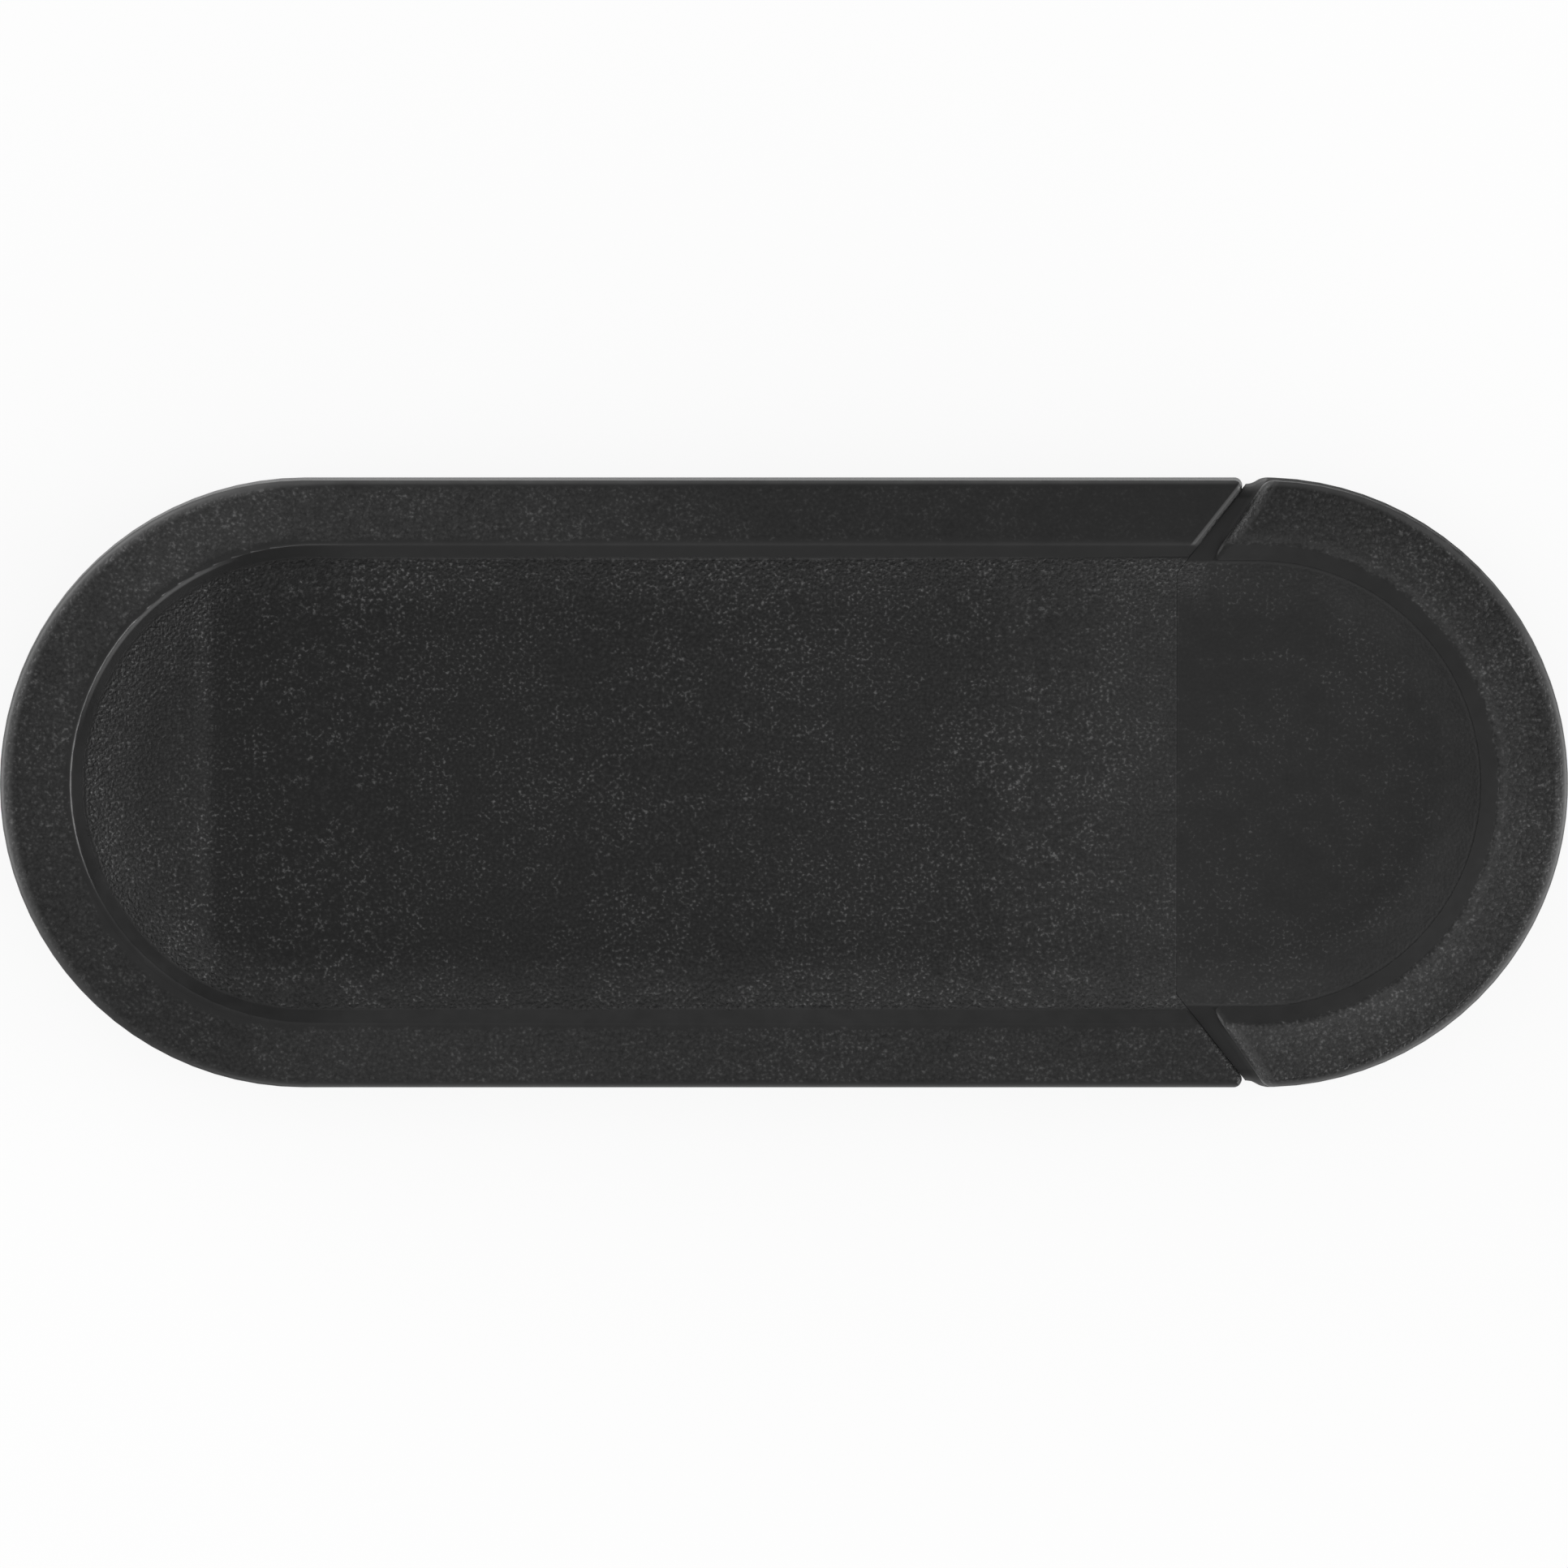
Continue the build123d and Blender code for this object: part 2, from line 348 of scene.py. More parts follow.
# %% [markdown]
# ## Floor, slope and rim
#
# Going outwards from the axis come the floor, the polished slope, the rim's flat top, its rounded edge and
# the wall. The floor has a grainier band along the foot of the slope, a crease where the shallow dish
# begins, and a bare margin at the right end of the head. The rim has a band along its crest, and one
# along its slanting end, where the grain is strongest.

# %% Masks for floor, slope and rim
FLOOR_BORDER_MM = 0.08
SLOPE_BORDER_MM = 0.06
RIM_BORDER_MM = 0.12
BAND_BORDER_MM = 0.08
END_BORDER_MM = 0.06
LOWER_LEFT_X_MM = (-10.5, -13.5)
LOWER_LEFT_Y_MM = (-1.5, -3.5)
LOWER_LEFT_SHIFT_MM = -0.14
FLAT_TOP_MM = (6.74, 6.86)
WALL_MM = (6.85, 6.95)
WALL_HEIGHT_MM = (1.82, 1.70)
UPPER_TO_LOWER_MM = (6.0, -6.0)
FOOT_BAND_MM = (1.5, 0.15)
CREASE_X_MM = -13.35
CREASE_HALF_WIDTH_MM = (0.05, 0.30)
CORNER_Y_MM = (4.0, 4.6)
CORNER_X_MM = (9.85, 9.45)
MARGIN_MM = (4.0, 4.6)
MARGIN_X_MM = (11.0, 13.0)


def find_bands(tree, at, look):
    """Masks for the floor, the slope, the rim and the wall, and for the bands along their borders."""
    foot = look["slope_foot"]
    at.on_floor = until(tree, at.inner_ragged, foot - FLOOR_BORDER_MM, foot)
    at.on_slope = between(tree, at.inner, foot - SLOPE_BORDER_MM, foot)
    lower_left = times(tree, between(tree, at.x, *LOWER_LEFT_X_MM), between(tree, at.y, *LOWER_LEFT_Y_MM))
    past_crest = add_share(tree, at.inner_ragged, lower_left, LOWER_LEFT_SHIFT_MM)
    rim_start = CREST_MM + look["rim_start"]
    at.on_rim = between(tree, past_crest, rim_start, rim_start + RIM_BORDER_MM)
    at.on_flat_top = until(tree, at.outer, *FLAT_TOP_MM)
    at.on_wall = times(tree, between(tree, at.outer, *WALL_MM), between(tree, at.z, *WALL_HEIGHT_MM))
    at.lower_side = between(tree, at.y, *UPPER_TO_LOWER_MM)
    band_end = CREST_MM + look["crest_band"]
    by_crest = until(tree, at.inner_ragged, band_end, band_end + BAND_BORDER_MM)
    from_ragged_end = plus(tree, at.from_end, at.ragged)
    at.by_end = until(tree, from_ragged_end, look["end_band"], look["end_band"] + END_BORDER_MM)
    at.by_border = calculate(tree, "MAXIMUM", by_crest, at.by_end)
    at.by_foot = between(tree, at.inner_ragged, foot - FOOT_BAND_MM[0], foot - FOOT_BAND_MM[1])
    at.crease = near(tree, at.x, CREASE_X_MM, *CREASE_HALF_WIDTH_MM)
    corner = times(tree, between(tree, at.y, *CORNER_Y_MM), between(tree, at.x, *CORNER_X_MM))
    at.corner = times(tree, corner, look["has_plate"])
    at.margin = times(tree, between(tree, at.inner, *MARGIN_MM), between(tree, at.x, *MARGIN_X_MM))

# %% [markdown]
# ## The slanting gaps
#
# Between the two rims' slanting ends lies a low plate of the base, polished. Its tone is lifted by painted
# light where the gap's shade falls, most below the rims' ends, with a painted highlight at its tip. The
# end of the cover's rim has a thin painted highlight along its edge at the top of the picture, and the
# head's end wall is painted lighter. The line between the two floors is a very fine gap, with a painted
# highlight along it that hides its shade.

# %% Masks for the plate in the gaps, the rims' ends and the seam
LOW_DOWN_MM = (0.03, 0.10)
PLATE_END_MM = (0.0, 0.05)
PLATE_TIP_MM = (6.55, 6.75)
PLATE_EDGE_MM = (6.5, 6.6)
FOOT_OF_END_MM = (-0.12, 0.0)
FOOT_OF_END_INNER_MM = (5.4, 6.0)
BY_COVER_MM = (-0.62, -0.30)
END_WALL_LOW_MM = (1.62, 1.70)
END_WALL_HIGH_MM = (1.90, 1.82)
END_WALL_HALF_WIDTH_MM = (0.04, 0.08)
SEAM_HALF_WIDTH_MM = (0.0, 0.04)
BRIGHT_EDGE_Y_MM = (0.0, 1.0)
BRIGHT_EDGE_Z_MM = (1.75, 1.85)
BRIGHT_EDGE_MM = -0.12
BRIGHT_EDGE_HALF_WIDTH_MM = (0.02, 0.05)
BRIGHT_EDGE_INNER_MM = (5.44, 5.52)


def find_gap(tree, at, look):
    """Masks for the plate and its painted light, for the ends of both rims, and for the seam's painted
    highlight.
    """
    has_plate = look["has_plate"]
    low_down = until(tree, at.z, FLOOR_TOP_MM + LOW_DOWN_MM[0], FLOOR_TOP_MM + LOW_DOWN_MM[1])
    before_end = until(tree, at.past_end, *PLATE_END_MM)
    at.on_plate = times(tree, low_down, before_end, at.on_slope, has_plate)
    at.off_plate = minus(tree, 1.0, at.on_plate)
    at.plate_tip = times(tree, at.on_plate, between(tree, at.outer, *PLATE_TIP_MM))
    at.plate_edge = times(tree, low_down, between(tree, at.outer, *PLATE_EDGE_MM, 0.0, has_plate))
    by_own_end = between(tree, at.past_end, *FOOT_OF_END_MM)
    at.by_own_end = times(tree, by_own_end, between(tree, at.inner, *FOOT_OF_END_INNER_MM))
    at.by_cover = until(tree, at.past_end, *BY_COVER_MM)
    # The head's end wall, painted lighter where the gap's shade falls.
    end_wall = times(tree, between(tree, at.z, *END_WALL_LOW_MM), between(tree, at.z, *END_WALL_HIGH_MM))
    at.on_end_wall = times(tree, end_wall, until(tree, at.from_end, *END_WALL_HALF_WIDTH_MM), has_plate)
    # A painted highlight along the seam, to hide its shade.
    at.seam = times(tree, near(tree, at.x, SEAM_X_MM, *SEAM_HALF_WIDTH_MM), at.on_floor)
    # A painted highlight along the edge of the cover's slanting end.
    bright = times(tree, between(tree, at.y, *BRIGHT_EDGE_Y_MM), between(tree, at.z, *BRIGHT_EDGE_Z_MM))
    bright = times(tree, bright, near(tree, at.past_end, BRIGHT_EDGE_MM, *BRIGHT_EDGE_HALF_WIDTH_MM))
    past_crest = between(tree, at.inner, *BRIGHT_EDGE_INNER_MM, 0.0, 1.0 - has_plate)
    at.bright_edge = times(tree, bright, past_crest)

# %% [markdown]
# ## Thin painted highlights
#
# Painted highlights are laid where a surface bends: along the foot of the slope, where they lighten the
# shade in the corner, along the crest at the upper left, and in a band just inside the outer edge. The
# band is wide at the pill's ends and narrow along its sides.

# %% Masks for the painted highlights
FOOT_LINE_INSIDE_MM = 0.05
FOOT_LINE_HALF_WIDTH_MM = (0.0, 0.07)
CREST_LINE_MM = 5.42
CREST_LINE_HALF_WIDTH_MM = (0.01, 0.06)
CREST_LINE_X_MM = (-12.3, -13.6)
CREST_LINE_Y_MM = (1.0, 3.2)
EDGE_BAND_SHARE = (1.0, 0.55)
EDGE_BAND_Z_MM = (1.84, 1.88)
EDGE_BAND_Y_MM = (-6.0, -2.5)


def find_lines(tree, at, look):
    """The painted highlights, each as a mask, or as the tone that it adds where that follows the length."""
    # A painted highlight along the foot of the slope, lightening the shade in the corner.
    foot_line = look["slope_foot"] - FOOT_LINE_INSIDE_MM
    at.foot_line = near(tree, at.inner, foot_line, *FOOT_LINE_HALF_WIDTH_MM, look["foot_line"])
    # A painted highlight on the crest at the upper left.
    crest_line = near(tree, at.inner, CREST_LINE_MM, *CREST_LINE_HALF_WIDTH_MM)
    crest_line = times(tree, crest_line, between(tree, at.x, *CREST_LINE_X_MM))
    at.crest_line = times(tree, crest_line, between(tree, at.y, *CREST_LINE_Y_MM))
    # A painted highlight just inside the outer edge, wide at the pill's ends and narrow along its sides.
    from_edge = minus(tree, PILL_HALF_WIDTH_MM, at.outer)
    share_of_width = calculate(tree, "DIVIDE", from_edge, along_length(tree, at.x, look["edge_width"]))
    edge_band = between(tree, share_of_width, *EDGE_BAND_SHARE)
    edge_band = times(tree, edge_band, between(tree, at.z, *EDGE_BAND_Z_MM))
    edge_band = times(tree, edge_band, along_length(tree, at.x, look["edge_tone"]))
    at.edge_band = times(tree, edge_band, between(tree, at.y, *EDGE_BAND_Y_MM, look["edge_below"], 1.0))

# %% [markdown]
# ## How much grain
#
# Two amounts tell what the grain does at a point: how high its humps stand, and how many light specks
# it has. Both follow the length, since the mould is worn more in some places than in others.

# %% Amounts of relief and of specks
CREASE_SPECKS = 0.35
MARGIN_SPECKS = 0.15
WALL_GRAIN = 0.7
RIM_SPECKS = 0.45


def find_grain(tree, at, look):
    """How high the grain stands and how many light specks it has, as shares of the full grain."""
    rim_grain = blend(tree, at.lower_side, along_length(tree, at.x, look["rim_grain"]), look["lower_grain"])
    rim_grain = calculate(tree, "MAXIMUM", rim_grain, at.by_border)
    rim_grain = times(tree, rim_grain, at.on_rim, at.on_flat_top)
    relief = add_share(tree, along_length(tree, at.x, look["floor_relief"]), at.by_foot, look["foot_grain"])
    relief = plus(tree, relief, at.corner)
    relief = add_share(tree, rim_grain, at.on_floor, relief)
    relief = calculate(tree, "MAXIMUM", relief, times(tree, at.on_wall, WALL_GRAIN))
    at.relief = times(tree, relief, at.off_plate)
    specks = add_share(tree, along_length(tree, at.x, look["floor_specks"]), at.by_foot, look["foot_grain"])
    specks = add_share(tree, specks, at.crease, CREASE_SPECKS)
    specks = times(tree, specks, blend(tree, at.margin, 1.0, MARGIN_SPECKS))
    specks = add_share(tree, times(tree, rim_grain, RIM_SPECKS), at.on_floor, specks)
    at.specks = times(tree, specks, at.off_plate)

# %% [markdown]
# ## The tone of each part
#
# The tone isn't even, so each part has a tone that follows its length, and some have another across it.
# Much of it is painted light and shade. The cover's floor is painted darker in the long dish, as its
# shade, and lighter before and behind it. The slope is painted darker where the lamps light it and
# lighter where they leave it dark. The band along the foot of the slope is painted lighter, the head's
# crest and slanting ends carry a painted highlight, and the plate in the gaps is lifted by painted light
# where the gap's shade falls. The head's rim is paler along its lower side. The numbers are shares of
# white, and small.

# %% Tones of the rim, the floor, the slope and the plate
LEAN_MM = (5.5, 6.8)
# A painted highlight along the head's crest and slanting ends, weaker on its lower side.
CREST_GLOW_MM = (-0.02, 0.30)
CREST_GLOW_Y_MM = (-4.0, -1.0)
CREST_GLOW_BELOW = 0.25
# Painted light on the floor's band along the foot of the slope, more on its lower side, and a painted
# highlight on the crease.
FOOT_TONE_Y_MM = (-2.0, 2.0)
FOOT_TONE_BELOW, FOOT_TONE_ABOVE = 0.012, 0.006
CREASE_TONE = 0.003
CORNER_TONE = 0.006
SLOPE_Y_MM = (-2.5, 3.0)
LEDGE_MM = (-0.09, 0.02)
LEDGE_TONE = 0.010
# Painted light lifts the plate in the gaps where their shade falls, most below the rims' ends, and a painted
# highlight lies at its tip.
PLATE_TONE = 0.031
PLATE_BY_COVER_TONE = 0.030
PLATE_INNER_MM = (5.1, 5.8)
PLATE_INNER_TONE = 0.012
PLATE_BY_END_TONE = 0.030
PLATE_TIP_TONE = 0.020


def rim_tone(tree, at, look):
    """The rim's tone along its upper and lower side, its lean across, and a painted highlight by its crest
    and end.
    """
    upper_tone = along_length(tree, at.x, look["upper_tone"])
    lower_tone = along_length(tree, at.x, look["lower_tone"])
    lean = between(tree, at.inner, *LEAN_MM, 1.0 + look["lean"], 1.0 - look["lean"])
    tone = times(tree, blend(tree, at.lower_side, upper_tone, lower_tone), lean)
    # A painted highlight along the crest and the slanting end, weaker on the lower side.
    glow = until(tree, at.inner_ragged, CREST_MM + CREST_GLOW_MM[0], CREST_MM + CREST_GLOW_MM[1])
    glow = times(tree, glow, between(tree, at.y, *CREST_GLOW_Y_MM, CREST_GLOW_BELOW, 1.0))
    return add_share(tree, tone, calculate(tree, "MAXIMUM", glow, at.by_end), look["glow_tone"])


def floor_tone(tree, at, look):
    """The floor's tone along its length, with painted light in the band at its foot, a painted highlight on
    its crease, and its corner.
    """
    # Painted light along the foot of the slope, and a painted highlight on the crease.
    foot_tone = between(tree, at.y, *FOOT_TONE_Y_MM, FOOT_TONE_BELOW, FOOT_TONE_ABOVE)
    tone = add_share(tree, along_length(tree, at.x, look["floor_tone"]), at.by_foot, foot_tone)
    tone = add_share(tree, tone, at.crease, CREASE_TONE)
    return add_share(tree, tone, at.corner, CORNER_TONE)


def slope_tone(tree, at, look):
    """The slope's tone with painted light and shade, along it and from its lower to its upper side, up to
    the ledge by the rim.
    """
    # Painted light and shade: lighter where the lamps leave the slope dark, darker where they light it.
    across = between(tree, at.y, *SLOPE_Y_MM, look["slope_below"], look["slope_above"])
    tone = times(tree, across, along_length(tree, at.x, look["slope_tone"]))
    on_ledge = between(tree, at.inner, CREST_MM + LEDGE_MM[0], CREST_MM + LEDGE_MM[1])
    return blend(tree, on_ledge, tone, LEDGE_TONE)


def plate_tone(tree, at):
    """The plate's tone and painted light: less by the floor, more below either rim's end, a painted
    highlight at its tip.
    """
    tone = add_share(tree, PLATE_TONE, at.by_cover, PLATE_BY_COVER_TONE)
    tone = blend(tree, between(tree, at.inner, *PLATE_INNER_MM), PLATE_INNER_TONE, tone)
    tone = add_share(tree, tone, at.by_own_end, PLATE_BY_END_TONE)
    return add_share(tree, tone, at.plate_tip, PLATE_TIP_TONE)

# %% [markdown]
# ## The tone of the skin
#
# The parts' tones are laid over each other, and the slow mottle and the clusters make them cloudy. The
# grain's own light and dark comes last: humps are lighter than the pits between them, and the specks
# are lighter still.

# %% The skin's tone from all the parts
# Painted highlights on the crest at the upper left, on the seam and on the cover's slanting end, and painted
# light on the head's end wall.
CREST_LINE_TONE = 0.040
SEAM_TONE = 0.012
BRIGHT_EDGE_TONE = 0.050
END_WALL_TONE = 0.050
CLOUDS = (0.65, 1.35)
HUMP_TONE = 0.035
SPECK_TONE = 0.085
DARKEST_TONE = 0.001


def skin_tone(tree, at, look):
    """The parts' tones laid over each other, then clouded, then grained."""
    tone = blend(tree, at.on_floor, slope_tone(tree, at, look), floor_tone(tree, at, look))
    # Painted highlights along the slope's foot, the crest at the upper left and the seam.
    tone = plus(tree, tone, at.foot_line)
    tone = add_share(tree, tone, at.crest_line, CREST_LINE_TONE)
    tone = add_share(tree, tone, at.seam, SEAM_TONE)
    tone = blend(tree, at.on_rim, tone, rim_tone(tree, at, look))
    # The painted highlight just inside the outer edge.
    tone = plus(tree, tone, at.edge_band)
    tone = times(tree, tone, blend(tree, at.grain["Mottle"], *CLOUDS))
    tone = times(tree, tone, blend(tree, at.grain["Clusters"], *CLOUDS))
    # The painted highlight on the cover's slanting end.
    tone = add_share(tree, tone, at.bright_edge, BRIGHT_EDGE_TONE)
    # Painted light on the head's end wall.
    tone = add_share(tree, tone, at.on_end_wall, END_WALL_TONE)
    # The plate in the gaps takes its tone with its painted light.
    tone = blend(tree, at.on_plate, tone, plate_tone(tree, at))
    tone = add_share(tree, tone, times(tree, at.hump, HUMP_TONE), at.relief)
    tone = add_share(tree, tone, times(tree, at.grain["Specks"], SPECK_TONE), at.specks)
    return calculate(tree, "MAXIMUM", tone, DARKEST_TONE)

# %% [markdown]
# ## Gloss
#
# Spark-eroded plastic has a satin skin. The slope is smoother at the closed end, where it mirrors a thin
# bright line, and duller along the sides, and the outer edge is burnished by use.

# %% The skin's roughness
SATIN_ROUGHNESS = 0.50
EDGE_ROUGHNESS = 0.38
PLATE_EDGE_ROUGHNESS = 0.85
POLISH_END_MM = (0.08, 0.16)
BURNISHED_MM = (6.70, 6.80)


def skin_roughness(tree, at, look):
    """Satin, with the slope's own roughness, a burnished outer edge and a dull edge on the low plate."""
    polished = until(tree, at.inner, CREST_MM + POLISH_END_MM[0], CREST_MM + POLISH_END_MM[1])
    polished = times(tree, polished, at.on_slope, at.off_plate)
    roughness = blend(tree, polished, SATIN_ROUGHNESS, along_length(tree, at.x, look["slope_roughness"]))
    roughness = blend(tree, between(tree, at.outer, *BURNISHED_MM), roughness, EDGE_ROUGHNESS)
    return blend(tree, at.plate_edge, roughness, PLATE_EDGE_ROUGHNESS)

# %% [markdown]
# ## The rounded outer edge
#
# The measured model rounds the rim's outer edge in a few narrow facets, and low light would show each of
# them as a dash. So the direction of the skin is worked out there instead: it leans over on a quarter
# circle as the outline comes near. The lean stops short of level, as the real edge has a little flat.

# %% The skin's direction at the outer edge
EDGE_HEIGHT_MM = (1.84, 1.86)
OFF_END_MM = (0.16, 0.18)
STEEPEST_SINE = 0.86


def soft_edge_normal(tree, at, soft_mm):
    """The skin's direction where the rim rounds over to its wall.

    The lean from straight up has the sine (distance - start) / soft_mm, a quarter circle that starts
    soft_mm inside the outline. Elsewhere the mesh's own direction is kept.
    """
    past_start = minus(tree, at.outer, minus(tree, PILL_HALF_WIDTH_MM, soft_mm))
    sine = calculate(tree, "DIVIDE", past_start, soft_mm, clamp=True)
    sine = calculate(tree, "MINIMUM", sine, STEEPEST_SINE)
    cosine = calculate(tree, "SQRT", minus(tree, 1.0, times(tree, sine, sine)))
    sideways = add_node(tree, "ShaderNodeVectorMath", {0: at.outward, "Scale": sine}, operation="SCALE")
    upwards = add_node(tree, "ShaderNodeCombineXYZ", {"Z": cosine})
    both = {0: sideways.outputs[0], 1: upwards.outputs[0]}
    leaning = add_node(tree, "ShaderNodeVectorMath", both, operation="ADD").outputs[0]
    turned = add_node(tree, "ShaderNodeVectorTransform", {"Vector": leaning},
                      vector_type="NORMAL", convert_from="OBJECT", convert_to="WORLD").outputs[0]
    skin = add_node(tree, "ShaderNodeNewGeometry").outputs["Normal"]
    there = times(tree, between(tree, at.z, *EDGE_HEIGHT_MM), between(tree, at.from_end, *OFF_END_MM))
    there = times(tree, there, calculate(tree, "GREATER_THAN", sine, 0.0))
    # A Mix node takes its two vectors in sockets 4 and 5, and puts their mixture out in socket 1.
    mixed = add_node(tree, "ShaderNodeMix", {0: there, 4: skin, 5: turned}, data_type="VECTOR").outputs[1]
    return add_node(tree, "ShaderNodeVectorMath", {0: mixed}, operation="NORMALIZE").outputs[0]

# %% [markdown]
# ## The whole material
#
# The tone feeds the base colour, the gloss the roughness, and the grain's humps a bump on top of the
# skin's direction. The specular level is low, because moulded plastic with a fine grain loses much of
# its mirror light in the grain's own shade.

# %% Material: matt black plastic
GRAIN_HEIGHT_MM = 0.045
SPECULAR_LEVEL = 0.20


def black_plastic(name, look):
    """Black plastic whose grain stops on the slope of the rim and at the outer edge."""
    material = bpy.data.materials.new(name)
    material.use_nodes = True
    tree = material.node_tree
    shader = tree.nodes["Principled BSDF"]
    at = take_measures(tree, look)
    for step in (find_bands, find_gap, find_lines, find_grain):
        step(tree, at, look)
    tone = skin_tone(tree, at, look)
    colour = add_node(tree, "ShaderNodeCombineColor", {"Red": tone, "Green": tone, "Blue": tone})
    skin = soft_edge_normal(tree, at, along_length(tree, at.x, look["soft_edge"]))
    height = times(tree, at.hump, at.relief)
    bump = add_node(tree, "ShaderNodeBump", {"Height": height, "Distance": GRAIN_HEIGHT_MM * MM,
                                             "Strength": 1.0, "Normal": skin})
    shader.inputs["Specular IOR Level"].default_value = SPECULAR_LEVEL
    tree.links.new(colour.outputs[0], shader.inputs["Base Color"])
    tree.links.new(skin_roughness(tree, at, look), shader.inputs["Roughness"])
    tree.links.new(bump.outputs["Normal"], shader.inputs["Normal"])
    print(name, "has", len(tree.nodes), "nodes")
    return material


def finish_node(name, material):
    """Gives a measured piece its finish in place of the plain one that it was loaded with."""
    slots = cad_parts[name].data.materials
    slots.clear()
    slots.append(material)

# %% [markdown]
# ## The cover's finish
#
# The cover is grained all over, most at its closed left end, and its rim gets smoother towards the head.
# Its floor is painted darker in the dish, from the crease onwards, as the dish's shade. The slope is a thin
# bright mirror at the closed end and dull along the sides, and its tone is painted lighter on its lower
# side and darker on its upper side. A list of pairs gives values along the length, each after its X in
# millimetres. The rim's slanting end is given by its foot in X and Y and by its slant.

# %% Finish the sliding cover
cover_look = {
    "rim_end": (8.99, 4.83, math.radians(38.4)),
    "has_plate": 0.0,
    "slope_foot": 5.2,
    "rim_start": 0.04,
    "crest_band": -0.2,
    "end_band": 0.0,
    "foot_line": 0.003,
    "soft_edge": [(-18.0, 0.32), (-13.0, 0.32), (-10.0, 0.24), (10.0, 0.24)],
    # The outer edge's painted highlight: its width, its strength and its share on the lower side.
    "edge_width": [(-18.0, 0.40), (-16.5, 0.34), (-13.0, 0.32), (-10.0, 0.17), (9.0, 0.16)],
    "edge_tone": [(-18.0, 0.038), (-16.5, 0.032), (-13.0, 0.031), (-10.0, 0.026), (9.0, 0.026)],
    "edge_below": 0.25,
    "foot_grain": 0.4,
    "lower_grain": 0.9,
    "rim_grain": [(-18.0, 1.1), (-9.0, 1.1), (1.0, 0.5), (11.0, 0.1)],
    "floor_relief": [(-18.0, 1.1), (-13.4, 1.1), (-12.2, 0.6), (5.0, 0.8), (9.0, 1.0)],
    "floor_specks": [(-18.0, 0.9), (-13.4, 0.8), (-12.2, 0.6), (5.0, 0.7), (9.0, 0.6)],
    "lean": 0.0,
    "glow_tone": 0.0,
    "upper_tone": [(-18.0, 0.009), (-16.0, 0.014), (-13.5, 0.018), (-9.0, 0.013), (1.0, 0.007),
                   (11.0, 0.007)],
    "lower_tone": [(-18.0, 0.009), (-13.5, 0.008), (-10.0, 0.013), (0.0, 0.010), (9.0, 0.012)],
    # The floor's tone, with painted shade darkening the dish and painted light before and behind it.
    "floor_tone": [(-18.0, 0.018), (-15.3, 0.016), (-14.2, 0.012), (-13.3, 0.010), (-12.9, 0.003),
                   (-5.0, 0.005), (4.6, 0.008), (5.3, 0.011), (9.0, 0.015)],
    # The slope's painted light and shade: lighter below, darker above and at the closed end.
    "slope_below": 1.9,
    "slope_above": 0.65,
    "slope_tone": [(-18.0, 0.002), (-16.1, 0.002), (-15.4, 0.009), (-14.2, 0.010), (-10.0, 0.0075),
                   (11.0, 0.0075)],
    "slope_roughness": [(-18.0, 0.25), (-13.0, 0.25), (-8.0, 0.6), (11.0, 0.6)],
}
finish_node("sliding_cover", black_plastic("black_plastic_cover", cover_look))

# %% [markdown]
# ## The base's finish
#
# Of the base, the picture shows the head and the plate in the two gaps. The head's floor is smooth with
# few specks, and its rim is grained more strongly than the cover's, with a painted highlight along its
# crest and its slanting ends, where it is grainier too. The lower side of the rim is paler than the upper.

# %% Finish the base
base_look = {
    "rim_end": (9.37, 4.54, math.radians(34.5)),
    "has_plate": 1.0,
    "slope_foot": 5.12,
    "rim_start": -0.05,
    "crest_band": 0.10,
    "end_band": 0.24,
    "foot_line": 0.011,
    "soft_edge": [(9.0, 0.24), (11.0, 0.24), (14.0, 0.28), (18.0, 0.28)],
    "edge_width": [(9.0, 0.18), (12.0, 0.22), (16.0, 0.31), (18.0, 0.38)],
    "edge_tone": [(9.0, 0.020), (12.0, 0.020), (16.0, 0.030), (18.0, 0.038)],
    "edge_below": 1.0,
    "foot_grain": 0.2,
    "lower_grain": 1.2,
    "rim_grain": [(9.0, 0.7), (14.0, 1.1), (18.0, 1.35)],
    "floor_relief": [(8.0, 0.2), (18.0, 0.2)],
    "floor_specks": [(8.0, 0.45), (18.0, 0.45)],
    "lean": 0.25,
    # A painted highlight along the crest and the slanting ends.
    "glow_tone": 0.014,
    "upper_tone": [(9.0, 0.0075), (14.0, 0.0115), (18.0, 0.0105)],
    "lower_tone": [(9.0, 0.021), (18.0, 0.021)],
    "floor_tone": [(8.0, 0.011), (18.0, 0.011)],
    "slope_below": 1.15,
    "slope_above": 1.0,
    "slope_tone": [(8.0, 0.011), (18.0, 0.009)],
    "slope_roughness": [(8.0, 0.8), (18.0, 0.9)],
}
finish_node("base", black_plastic("black_plastic_base", base_look))

# %% [markdown]
# ## Adhesive
#
# Under the base lie two sheets of milky, slightly tacky adhesive. They show faint flow streaks from the
# roller that coated them, small pits where they took up dust, and a soft satin shine. A clear flat white
# would look like paper, so the tone carries streaks and specks, and the pits are in the normal as well.

# %% Material: milky adhesive
STREAK_STRETCH = (0.18, 1.0, 1.0)
STREAK_MM = 0.45
CLOUD_MM = 1.6
PIT_MM = 0.16
PIT_LEVELS = (0.66, 0.74)
STREAK_TONES = (0.60, 0.76)
CLOUD_SHARES = (0.94, 1.05)
PIT_TONE = -0.14
WARMTH = 0.955
SATIN_RANGE = (0.38, 0.52)
SURFACE_HEIGHT_MM = 0.012

